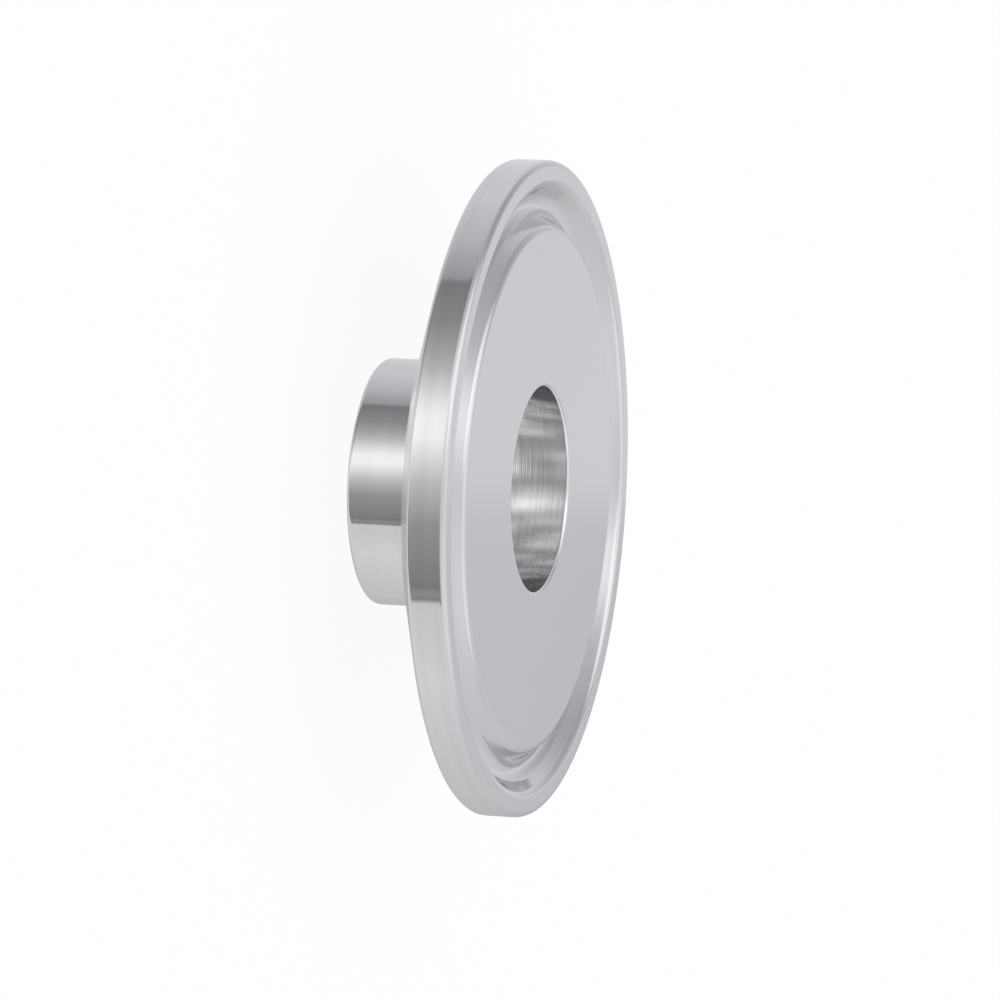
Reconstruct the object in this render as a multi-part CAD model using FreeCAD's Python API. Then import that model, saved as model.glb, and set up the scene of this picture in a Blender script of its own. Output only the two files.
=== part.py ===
import FreeCAD, Part
import math
import os

from FreeCAD import Vector

# Short weld ferrule for hygienic pipework: a collar turned from one piece of stainless bar.
# A round clamp flange stands on a short pipe stub, and one plain bore runs through both.
# The stub's cut end is at Z = 0 and the flat sealing face is on top, square to the Z axis.
# All sizes are in millimetres.

# Stub: its end is butt welded to a tube of the same outside diameter and wall.
tube_diameter = 19.05
tube_wall = 1.65
overall_length = 12.7
stub_end_radius = 0.45
bore_end_chamfer = 0.15

# Flange: a narrow cylindrical rim, and behind it the slope that the clamp's jaws pull on.
flange_diameter = 50.5
rim_width = 2.95
jaw_slope_deg = 20.0
jaw_slope_run = 7.5
rim_front_radius = 0.5
rim_back_radius = 0.40
stub_fillet_radius = 1.2

# Sealing face: flat, with one ring groove that holds the bead of the gasket. Both walls of
# the groove roll over its edges, slope towards each other and run into its round floor.
rim_land_width = 1.85
groove_width = 3.25
groove_wall_slope_deg = 59.0
groove_floor_radius = 1.15
groove_edge_radius = 0.70
bore_mouth_chamfer = 0.20

stub_radius = tube_diameter / 2
bore_radius = stub_radius - tube_wall
flange_radius = flange_diameter / 2
rim_back_height = overall_length - rim_width
slope_end_distance = flange_radius - jaw_slope_run
flange_back_height = rim_back_height - jaw_slope_run * math.tan(math.radians(jaw_slope_deg))
groove_outer_distance = flange_radius - rim_land_width
groove_middle_distance = groove_outer_distance - groove_width / 2
groove_inner_distance = groove_outer_distance - groove_width
walls_meet_depth = groove_width / 2 * math.tan(math.radians(groove_wall_slope_deg))
sharp = 0


def rounded_corner(before, corner, after, radius):
    """Start, middle and end of the arc that rounds a corner of the section."""
    incoming = (before - corner).normalize()
    outgoing = (after - corner).normalize()
    half_angle = incoming.getAngle(outgoing) / 2
    setback = radius / math.tan(half_angle)
    inward = (incoming + outgoing).normalize()
    middle = corner + inward * (radius / math.sin(half_angle) - radius)
    return corner + incoming * setback, middle, corner + outgoing * setback


def section_face(corners):
    """A flat face from corners given as (distance from the axis, height, rounding radius)."""
    points = [Vector(distance, 0, height) for distance, height, _ in corners]
    arcs = []
    for index, corner in enumerate(corners):
        following = points[(index + 1) % len(points)]
        arcs.append(rounded_corner(points[index - 1], points[index], following, corner[2]))
    edges = []
    for index, (start, middle, end) in enumerate(arcs):
        next_start = arcs[(index + 1) % len(arcs)][0]
        if corners[index][2] != sharp:
            edges.append(Part.Arc(start, middle, end).toShape())
        edges.append(Part.LineSegment(end, next_start).toShape())
    return Part.Face(Part.Wire(edges))


def outer_corners():
    """The stub, the back of the flange and its rim, from the bore's lower end upwards."""
    return [
        (bore_radius, bore_end_chamfer, sharp),
        (bore_radius + bore_end_chamfer, 0, sharp),
        (stub_radius, 0, stub_end_radius),
        (stub_radius, flange_back_height, stub_fillet_radius),
        (slope_end_distance, flange_back_height, sharp),
        (flange_radius, rim_back_height, rim_back_radius),
        (flange_radius, overall_length, rim_front_radius),
    ]


def face_corners():
    """The sealing face from its rim inwards: the gasket groove and the bore's mouth."""
    return [
        (groove_outer_distance, overall_length, groove_edge_radius),
        (groove_middle_distance, overall_length - walls_meet_depth, groove_floor_radius),
        (groove_inner_distance, overall_length, groove_edge_radius),
        (bore_radius + bore_mouth_chamfer, overall_length, sharp),
        (bore_radius, overall_length - bore_mouth_chamfer, sharp),
    ]


def ferrule():
    """The whole collar: its half section turned about the Z axis."""
    section = section_face(outer_corners() + face_corners())
    return section.revolve(Vector(0, 0, 0), Vector(0, 0, 1), 360)


os.makedirs("parts", exist_ok=True)
ferrule().exportStep("parts/clamp_ferrule.step")
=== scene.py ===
import math

import bpy
from mathutils import Matrix, Vector


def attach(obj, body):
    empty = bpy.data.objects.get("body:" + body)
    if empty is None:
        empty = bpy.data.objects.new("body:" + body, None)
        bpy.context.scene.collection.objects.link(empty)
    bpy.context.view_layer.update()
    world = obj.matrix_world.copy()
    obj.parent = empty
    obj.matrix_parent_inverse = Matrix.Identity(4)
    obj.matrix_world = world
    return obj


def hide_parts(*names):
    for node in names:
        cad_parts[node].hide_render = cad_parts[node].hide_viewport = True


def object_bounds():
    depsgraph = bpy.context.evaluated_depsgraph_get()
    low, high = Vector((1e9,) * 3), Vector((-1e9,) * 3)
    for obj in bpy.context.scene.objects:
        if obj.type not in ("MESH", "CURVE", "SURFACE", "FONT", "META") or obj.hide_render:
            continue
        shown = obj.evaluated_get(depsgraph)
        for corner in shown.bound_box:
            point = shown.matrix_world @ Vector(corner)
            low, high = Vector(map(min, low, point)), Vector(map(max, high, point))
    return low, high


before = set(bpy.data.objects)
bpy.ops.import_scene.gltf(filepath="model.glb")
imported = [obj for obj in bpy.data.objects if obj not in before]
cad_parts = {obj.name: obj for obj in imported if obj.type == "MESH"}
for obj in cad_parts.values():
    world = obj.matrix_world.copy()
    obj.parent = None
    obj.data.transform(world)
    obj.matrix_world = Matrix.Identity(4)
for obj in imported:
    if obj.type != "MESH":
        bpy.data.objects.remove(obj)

cadLow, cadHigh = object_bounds()
mm = 0.001
print("stage: frame loaded")

# The collar's half section in millimetres. Its reach and height come from the frame.
collar = dict(
    flangeRadius=cadHigh.x / mm,
    length=cadHigh.z / mm,
    stubRadius=9.525,
    boreRadius=7.875,
    rimWidth=2.95,
    jawSlope=20.0,  # degrees, behind the rim
    jawSlopeRun=7.5,  # how far the slope reaches inwards
    rimLand=1.85,  # flat left between the rim's edge and the groove
    grooveWidth=3.25,
    grooveWallSlope=59.0,  # degrees, at the groove's edges
    grooveFloorRound=1.15,
    grooveEdgeRound=0.70,
    rimFrontRound=0.5,
    rimBackRound=0.40,
    slopeEndRound=0.6,
    stubFillet=1.2,
    stubEndRound=0.45,
    boreEndRound=0.15,
    boreMouthRound=0.25,
    stepsPerRound=8,  # faces along a rounding
    stepsPerGroove=28,  # the same in the groove
    stepsAround=420,  # faces round the axis
)


def sectionCorners(c):
    rimBack = c["length"] - c["rimWidth"]
    flangeBack = rimBack - c["jawSlopeRun"] * math.tan(math.radians(c["jawSlope"]))
    slopeEnd = c["flangeRadius"] - c["jawSlopeRun"]
    grooveOut = c["flangeRadius"] - c["rimLand"]
    grooveIn = grooveOut - c["grooveWidth"]
    grooveMiddle = (grooveOut + grooveIn) / 2
    wallRise = math.tan(math.radians(c["grooveWallSlope"]))
    wallsMeet = c["length"] - c["grooveWidth"] / 2 * wallRise
    # distance from the axis, height, rounding, finish of the stretch up to the next corner
    return [
        (c["boreRadius"], 0, c["boreEndRound"], "stubEnd"),
        (c["stubRadius"], 0, c["stubEndRound"], "stubSide"),
        (c["stubRadius"], flangeBack, c["stubFillet"], "flangeBack"),
        (slopeEnd, flangeBack, c["slopeEndRound"], "flangeBack"),
        (c["flangeRadius"], rimBack, c["rimBackRound"], "rim"),
        (c["flangeRadius"], c["length"], c["rimFrontRound"], "face"),
        (grooveOut, c["length"], c["grooveEdgeRound"], "groove"),
        (grooveMiddle, wallsMeet, c["grooveFloorRound"], "groove"),
        (grooveIn, c["length"], c["grooveEdgeRound"], "face"),
        (c["boreRadius"], c["length"], c["boreMouthRound"], "bore"),
    ]


def unit(dx, dy):
    size = math.hypot(dx, dy)
    return dx / size, dy / size


def sectionPoints(c):
    # every corner becomes an arc that runs on smoothly into its two straight neighbours
    corners = sectionCorners(c)
    points = []
    for i, (r, z, rounding, finish) in enumerate(corners):
        before, after = corners[i - 1], corners[(i + 1) % len(corners)]
        inX, inZ = unit(r - before[0], z - before[1])
        outX, outZ = unit(after[0] - r, after[1] - z)
        turn = math.atan2(inX * outZ - inZ * outX, inX * outX + inZ * outZ)
        setback = rounding * math.tan(abs(turn) / 2)
        side = math.copysign(1, turn)
        # the solid lies on the left of the way round, so its normal points to the right
        centreX = r - inX * setback - side * inZ * rounding
        centreZ = z - inZ * setback + side * inX * rounding
        steps = c["stepsPerGroove"] if finish == "groove" else c["stepsPerRound"]
        for k in range(steps + 1):
            a = turn * k / steps
            normX = inZ * math.cos(a) + inX * math.sin(a)
            normZ = -inX * math.cos(a) + inZ * math.sin(a)
            points.append(dict(
                r=centreX + side * rounding * normX,
                z=centreZ + side * rounding * normZ,
                normX=normX,
                normZ=normZ,
                finish=finish if k >= steps / 2 else before[3],
            ))
    return points


def circle(radius, height, steps):
    turns = [2 * math.pi * j / steps for j in range(steps)]
    return [(radius * math.cos(a), radius * math.sin(a), height) for a in turns]


def inScene(name, mesh):
    made = bpy.data.objects.new(name, mesh)
    bpy.context.scene.collection.objects.link(made)
    return made


def turnedMesh(name, points, stepsAround, finishNames):
    verts, normals, faces, slots = [], [], [], []
    for p in points:
        verts += circle(p["r"] * mm, p["z"] * mm, stepsAround)
        normals += circle(p["normX"], p["normZ"], stepsAround)
    for i, p in enumerate(points):
        here, there = i * stepsAround, (i + 1) % len(points) * stepsAround
        for j in range(stepsAround):
            k = (j + 1) % stepsAround
            faces.append((here + j, here + k, there + k, there + j))
            slots.append(finishNames.index(p["finish"]))
    mesh = bpy.data.meshes.new(name)
    mesh.from_pydata(verts, [], faces)
    mesh.polygons.foreach_set("material_index", slots)
    mesh.polygons.foreach_set("use_smooth", [True] * len(faces))
    mesh.normals_split_custom_set_from_vertices(normals)
    return mesh


# The steel, and how the lathe and the polishing left each surface. Depths and pitches are
# millimetres. feed is the even thread-like mark of the tool, streak the uneven rings over it.
# rough is the shine's blur, and spread how much of that blur lies across the marks. shine is the
# share of light that the surface gives back. The polished bore's higher shine is painted light, and
# the face's lower shine painted shade, on the same steel.
steel = dict(
    tint=(1.0, 1.003, 1.016),
    shine=0.625,  # this and the next two hold where a finish below doesn't give its own
    patchy=0.07,  # how far the blur differs from ring to ring
    haze=0.0,  # how far the surface is from bare metal
    blurTurn=0.25,  # a quarter turn lays the blur across the marks
    streakDrift=0.7,  # how much the rings change on their way round the axis
    streakDetail=4.0,
    wander=6.0,  # how far the feed marks stray from an even pitch
    wanderPitch=2.5,
    wanderDrift=0.5,
    wanderDetail=1.0,
    grain=0.6,  # how strong the finest part of the rings is
    noiseLow=0.3,
    noiseMiddle=0.5,
    noiseHigh=0.7,  # nearly all rings lie between noiseLow and this
)
# feedShade and streakShade paint shade and sheen into the colour along the feed marks and the rings
finishes = dict(
    # the face's lower shine is painted shade on the same steel
    face=dict(along="radius", shine=0.58, rough=0.10, spread=0.60,
              feedPitch=0.12, feedDepth=0.00004, feedShade=0.004,
              streakPitch=0.5, streakDepth=0.00012, streakShade=0.03),
    groove=dict(along="radius", rough=0.10, spread=0.90,
                feedPitch=0.16, feedDepth=0.0016, feedShade=0.01,
                streakPitch=0.3, streakDepth=0.0022, streakShade=0.12),
    rim=dict(along="height", rough=0.10, spread=1.0,
             feedPitch=0.17, feedDepth=0.00035, feedShade=0.01,
             streakPitch=0.9, streakDepth=0.0045, streakShade=0.22),
    flangeBack=dict(along="radius", rough=0.22, spread=0.90,
                    feedPitch=0.16, feedDepth=0.0008, feedShade=0.02,
                    streakPitch=0.5, streakDepth=0.001, streakShade=0.1),
    stubSide=dict(along="height", rough=0.08, spread=1.0,
                  feedPitch=0.17, feedDepth=0.0013, feedShade=0.027,
                  streakPitch=0.45, streakDepth=0.0016, streakShade=0.14),
    stubEnd=dict(along="radius", rough=0.25, spread=0.8,
                 feedPitch=0.14, feedDepth=0.0008, feedShade=0.02,
                 streakPitch=0.4, streakDepth=0.001, streakShade=0.1),
    # the bore's higher shine is painted light on the same steel
    bore=dict(along="height", shine=0.78, rough=0.055, spread=0.9, patchy=0.5, haze=0.08,
              feedPitch=0.15, feedDepth=0.0006, feedShade=0.025,
              streakPitch=0.22, streakDepth=0.0032, streakShade=0.3),
)


def put(tree, target, value):
    if isinstance(value, bpy.types.NodeSocket):
        tree.links.new(value, target)
    else:
        target.default_value = value


def add(tree, kind, sockets=None, **settings):
    made = tree.nodes.new("ShaderNode" + kind)
    for key, value in settings.items():
        setattr(made, key, value)
    for key, value in (sockets or {}).items():
        put(tree, made.inputs[key], value)
    return made


def sums(tree, operation, *values):
    made = tree.nodes.new("ShaderNodeMath")
    made.operation = operation
    for slot, value in enumerate(values):
        put(tree, made.inputs[slot], value)
    return made.outputs[0]


def coordinates(tree, kind):
    place = tree.nodes.new("ShaderNodeTexCoord").outputs[kind]
    return add(tree, "SeparateXYZ", {"Vector": place}).outputs


def turnedSteel(name, look):
    look = {**steel, **look}
    material = bpy.data.materials.new(name)
    material.use_nodes = True
    tree = material.node_tree
    shader = tree.nodes["Principled BSDF"]
    x, y, z = coordinates(tree, "Object")
    squares = sums(tree, "ADD", sums(tree, "MULTIPLY", x, x), sums(tree, "MULTIPLY", y, y))
    radius = sums(tree, "SQRT", squares)
    across = sums(tree, "DIVIDE", radius if look["along"] == "radius" else z, mm)
    # a slow change round the axis keeps the marks long without making them perfect rings
    roundX = sums(tree, "DIVIDE", x, radius)
    roundY = sums(tree, "DIVIDE", y, radius)

    def rings(pitch, drift, detail):
        track = add(tree, "CombineXYZ", {
            "X": sums(tree, "DIVIDE", across, pitch),
            "Y": sums(tree, "MULTIPLY", roundX, drift),
            "Z": sums(tree, "MULTIPLY", roundY, drift),
        }).outputs[0]
        noise = {"Vector": track, "Scale": 1.0, "Detail": detail, "Roughness": look["grain"]}
        return add(tree, "TexNoise", noise).outputs[0]

    streaks = rings(look["streakPitch"], look["streakDrift"], look["streakDetail"])
    wander = rings(look["wanderPitch"], look["wanderDrift"], look["wanderDetail"])
    astray = sums(tree, "MULTIPLY", wander, look["wander"])
    phase = sums(tree, "MULTIPLY_ADD", across, 2 * math.pi / look["feedPitch"], astray)
    feed = sums(tree, "SINE", phase)

    height = sums(tree, "ADD", sums(tree, "MULTIPLY", feed, look["feedDepth"] / 2),
                  sums(tree, "MULTIPLY", streaks, look["streakDepth"]))
    bump = add(tree, "Bump", {"Strength": 1.0, "Distance": mm, "Height": height})
    blur = add(tree, "MapRange", {
        "Value": streaks,
        "From Min": look["noiseLow"],
        "From Max": look["noiseHigh"],
        "To Min": look["rough"] * (1 - look["patchy"]),
        "To Max": look["rough"] * (1 + look["patchy"]),
    })
    # painted shade and painted sheen: the colour is darkened and lightened along the rings and the
    # feed marks, in place of the shine that the marks would show
    offMiddle = sums(tree, "SUBTRACT", streaks, look["noiseMiddle"])
    paintedRingShade = sums(tree, "MULTIPLY_ADD", offMiddle, look["streakShade"], 1.0)
    shade = sums(tree, "MULTIPLY_ADD", feed, look["feedShade"], paintedRingShade)
    unshadedSteel = tuple(look["shine"] * share for share in look["tint"])
    colour = add(tree, "VectorMath", {"Vector": unshadedSteel, "Scale": shade}, operation="SCALE")
    roundWay = add(tree, "Tangent", direction_type="RADIAL", axis="Z")

    put(tree, shader.inputs["Base Color"], colour.outputs[0])
    put(tree, shader.inputs["Roughness"], blur.outputs[0])
    put(tree, shader.inputs["Normal"], bump.outputs[0])
    put(tree, shader.inputs["Tangent"], roundWay.outputs[0])
    put(tree, shader.inputs["Metallic"], 1.0 - look["haze"])
    put(tree, shader.inputs["Anisotropic"], look["spread"])
    put(tree, shader.inputs["Anisotropic Rotation"], look["blurTurn"])
    return material


turned = turnedMesh("turned_ferrule", sectionPoints(collar), collar["stepsAround"], list(finishes))
ferrule = inScene("turned_ferrule", turned)
for finish, look in finishes.items():
    ferrule.data.materials.append(turnedSteel("steel_" + finish, look))
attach(ferrule, "root")
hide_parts("clamp_ferrule")
print("stage: ferrule turned,", len(ferrule.data.polygons), "faces")

# A light tent round the collar. Directions are degrees round its axis, from the side that
# faces the camera, up to the left of the standing collar. Heights are degrees above level.
# Its levels follow what the rim, the stub and the groove mirror in the photograph.
tent = dict(
    tints=dict(
        plain=(1.0, 1.0, 1.0),
        faint=(0.99, 0.993, 1.02),
        cool=(0.975, 0.985, 1.03),
        rosy=(1.01, 0.99, 1.005),
    ),
    # brightness round the axis, as the upright surfaces mirror it
    around=[
        (-180, 0.47, "cool"), (-136, 0.77, "plain"), (-72, 0.97, "rosy"), (-42, 0.87, "plain"),
        (-41.3, 0.24, "plain"), (-40.2, 0.25, "plain"), (-38.7, 0.52, "plain"),
        (-37.2, 0.27, "rosy"), (-34, 0.32, "rosy"), (-14, 0.44, "rosy"), (0, 0.76, "plain"),
        (16, 1.40, "plain"), (24, 1.36, "plain"), (40, 0.71, "plain"), (48, 0.53, "plain"),
        (57, 0.39, "plain"), (75, 0.28, "plain"), (76, 0.48, "cool"), (96, 0.73, "cool"),
        (120, 0.87, "cool"), (172, 0.80, "faint"), (179.9, 0.90, "faint"),
    ],
    # soft lamps higher up, where the groove's walls and the rounded edges look, and above that:
    # the direction of each lamp's middle, its reach to both sides and what it adds to the level
    shoulder=dict(
        level=0.46,
        lamps=[(-179, 16, 0.14), (-161, 83, 0.39), (-80, 77, 0.27), (0, 153, 0.45), (36, 35, 0.37)],
    ),
    crown=dict(
        level=0.69,
        lamps=[(-115, 180, 0.46), (42, 53, 0.86), (91, 51, 0.68), (149, 51, 0.43)],
    ),
    below=0.95,  # the level under the collar, and the heights between which it gives way
    belowUntil=(-78.0, -56.0),
    shoulderFrom=(0.0, 28.0),
    crownFrom=(42.0, 60.0),
    overhead=1.1,
    overheadFrom=(72.0, 86.0),
)
white = (1, 1, 1)


def tinted(level, tint=white):
    return (*(level * share for share in tint), 1)


def ramp(tree, where, stops):
    made = add(tree, "ValToRGB", {"Fac": where})
    stopList = made.color_ramp.elements
    stopList.remove(stopList[1])
    for i, (degrees, colour) in enumerate(stops):
        stop = stopList[0] if i == 0 else stopList.new(degrees / 360 + 0.5)
        stop.color = colour
    return made.outputs[0]


def lampLevel(light, degrees):
    level = light["level"]
    for middle, reach, strength in light["lamps"]:
        aside = abs((degrees - middle + 180) % 360 - 180)
        near = max(0, 1 - aside / reach)
        level += strength * near * near * (3 - 2 * near)
    return level


def lamps(tree, where, light, tint):
    step = 12  # degrees, for 31 stops in a ramp that takes 32
    return ramp(tree, where, [
        (degrees, tinted(lampLevel(light, degrees), tint)) for degrees in range(-180, 181, step)])


def rise(tree, value, start, end):
    return add(tree, "MapRange", {"Value": value, "From Min": start, "From Max": end},
               interpolation_type="SMOOTHSTEP").outputs[0]


def up(degrees):
    return math.sin(math.radians(degrees))


colourA, colourB, colourOut = 6, 7, 2  # the Mix node's places for colours


def mixed(tree, share, one, other):
    made = add(tree, "Mix", {"Factor": share, colourA: one, colourB: other}, data_type="RGBA")
    return made.outputs[colourOut]


def aroundAxis(tree, x, y):
    # 0 to 1 for the tent's -180 to 180 degrees
    angle = sums(tree, "ARCTAN2", sums(tree, "MULTIPLY", x, -1), sums(tree, "MULTIPLY", y, -1))
    return sums(tree, "MULTIPLY_ADD", angle, 1 / (2 * math.pi), 0.5)


def cameraRay(tree):
    return tree.nodes.new("ShaderNodeLightPath").outputs["Is Camera Ray"]


def lightTent(look):
    world = bpy.data.worlds.new("light_tent")
    world.use_nodes = True
    tree = world.node_tree
    tree.nodes.clear()
    x, y, z = coordinates(tree, "Generated")
    turn = aroundAxis(tree, x, y)
    tints = look["tints"]
    around = [(degrees, tinted(level, tints[tint])) for degrees, level, tint in look["around"]]
    seen = tinted(look["below"])
    for (start, end), higher in (
            (look["belowUntil"], ramp(tree, turn, around)),
            (look["shoulderFrom"], lamps(tree, turn, look["shoulder"], tints["faint"])),
            (look["crownFrom"], lamps(tree, turn, look["crown"], tints["plain"])),
            (look["overheadFrom"], tinted(look["overhead"]))):
        seen = mixed(tree, rise(tree, z, up(start), up(end)), seen, higher)
    # the camera sees plain white, and only the collar meets the tent
    colour = mixed(tree, cameraRay(tree), seen, (*white, 1))
    background = add(tree, "Background", {"Color": colour, "Strength": 1.0})
    put(tree, tree.nodes.new("ShaderNodeOutputWorld").inputs[0], background.outputs[0])
    return world


bpy.context.scene.world = lightTent(tent)
print("stage: light tent up")

# A glowing sleeve under the stub, which only the bore mirrors: it stands for what lies there
# in the photograph. A ray that leaves the bore after two bounces meets the upper band, and
# one that bounces more often meets the bands below. Each band has lamps as the tent has them.
sleeve = dict(
    radius=7.95,
    top=-0.01,
    upperEnd=-1.2,
    middleEnd=-2.5,
    bottom=-5.2,
    steps=120,
    tint=(1.02, 1.0, 0.96),
    upperBand=dict(
        level=0.56,
        lamps=[(-162, 48, 0.44), (-132, 35, 1.40), (-69, 22, 0.51), (-59, 33, 0.17),
               (91, 180, -0.24), (93, 39, 0.65), (131, 38, 0.49)],
    ),
    middleBand=dict(
        level=0.35,
        lamps=[(-52, 73, 0.28), (30, 65, 1.17), (56, 32, 0.97), (126, 27, 0.93), (134, 93, 0.83),
               (162, 45, -0.50)],
    ),
    lowerBand=dict(
        level=0.56,
        lamps=[(-111, 36, -0.08), (30, 69, 0.82), (68, 55, 1.19)],
    ),
)


def boreSleeve(look):
    mesh = bpy.data.meshes.new("bore_sleeve")
    steps = look["steps"]
    verts, faces = [], []
    for height in (look["top"], look["bottom"]):
        verts += circle(look["radius"] * mm, height * mm, steps)
    for j in range(steps):
        k = (j + 1) % steps
        faces.append((j, k, steps + k, steps + j))
    mesh.from_pydata(verts, [], faces)
    made = inScene("bore_sleeve", mesh)
    material = bpy.data.materials.new("bore_sleeve")
    material.use_nodes = True
    tree = material.node_tree
    x, y, z = coordinates(tree, "Object")
    turn = aroundAxis(tree, x, y)
    colour = lamps(tree, turn, look["lowerBand"], look["tint"])
    for end, band in (("middleEnd", "middleBand"), ("upperEnd", "upperBand")):
        above = sums(tree, "GREATER_THAN", z, look[end] * mm)
        colour = mixed(tree, above, colour, lamps(tree, turn, look[band], look["tint"]))
    glow = add(tree, "Emission", {"Color": colour})
    put(tree, tree.nodes["Material Output"].inputs[0], glow.outputs[0])
    mesh.materials.append(material)
    made.visible_camera = False
    made.visible_diffuse = False
    made.visible_shadow = False


boreSleeve(sleeve)
print("stage: bore sleeve up")

# A pale round floor. The steel doesn't mirror it, so that only the tent shapes the shine.
floor = dict(
    radius=2.0,  # metres
    steps=96,
    colour=(0.97, 0.97, 0.97),
    rough=0.9,
    gloss=0.0,
    ownWhite=0.93,  # share of plain white that the camera sees, and the rest takes the shadow
)


def paleFloor(look):
    mesh = bpy.data.meshes.new("pale_floor")
    steps = look["steps"]
    mesh.from_pydata(circle(look["radius"], 0, steps), [], [tuple(range(steps))])
    made = inScene("pale_floor", mesh)
    material = bpy.data.materials.new("pale_floor")
    material.use_nodes = True
    tree = material.node_tree
    shader = tree.nodes["Principled BSDF"]
    put(tree, shader.inputs["Base Color"], (*look["colour"], 1))
    put(tree, shader.inputs["Roughness"], look["rough"])
    put(tree, shader.inputs["Specular IOR Level"], look["gloss"])
    glow = add(tree, "Emission", {"Color": (*white, 1), "Strength": 1.0})
    share = sums(tree, "MULTIPLY", cameraRay(tree), look["ownWhite"])
    mix = add(tree, "MixShader", {"Fac": share, 1: shader.outputs[0], 2: glow.outputs[0]})
    put(tree, tree.nodes["Material Output"].inputs[0], mix.outputs[0])
    mesh.materials.append(material)
    made.visible_glossy = False


paleFloor(floor)
print("stage: floor laid")

# The photograph looks along the face at a low angle, with the camera turned on its side.
photo = dict(
    elevation=16.338,  # degrees
    roll=93.042,
    distance=564.6,  # millimetres to the middle of the sealing face, along the view
    right=3.132,  # where the middle of the face lies from the picture's middle
    down=-0.826,
    lens=264.76,
    sensor=36.0,
    clip=(0.01, 50.0),  # metres
)


def photoCamera(look):
    data = bpy.data.cameras.new("photo_camera")
    data.sensor_width = look["sensor"]
    data.lens = look["lens"]
    data.clip_start, data.clip_end = look["clip"]
    camera = inScene("photo_camera", data)
    tilt = Matrix.Rotation(math.radians(90 - look["elevation"]), 4, "X")
    turn = tilt @ Matrix.Rotation(math.radians(look["roll"]), 4, "Z")
    right, upward, back = (turn.col[i].xyz for i in range(3))
    faceMiddle = Vector((0, 0, collar["length"]))
    place = faceMiddle - right * look["right"] + upward * look["down"] + back * look["distance"]
    camera.matrix_world = Matrix.Translation(place * mm) @ turn
    return camera


bpy.context.scene.camera = photoCamera(photo)
bpy.context.scene.view_settings.view_transform = "Standard"
print("stage: camera set")
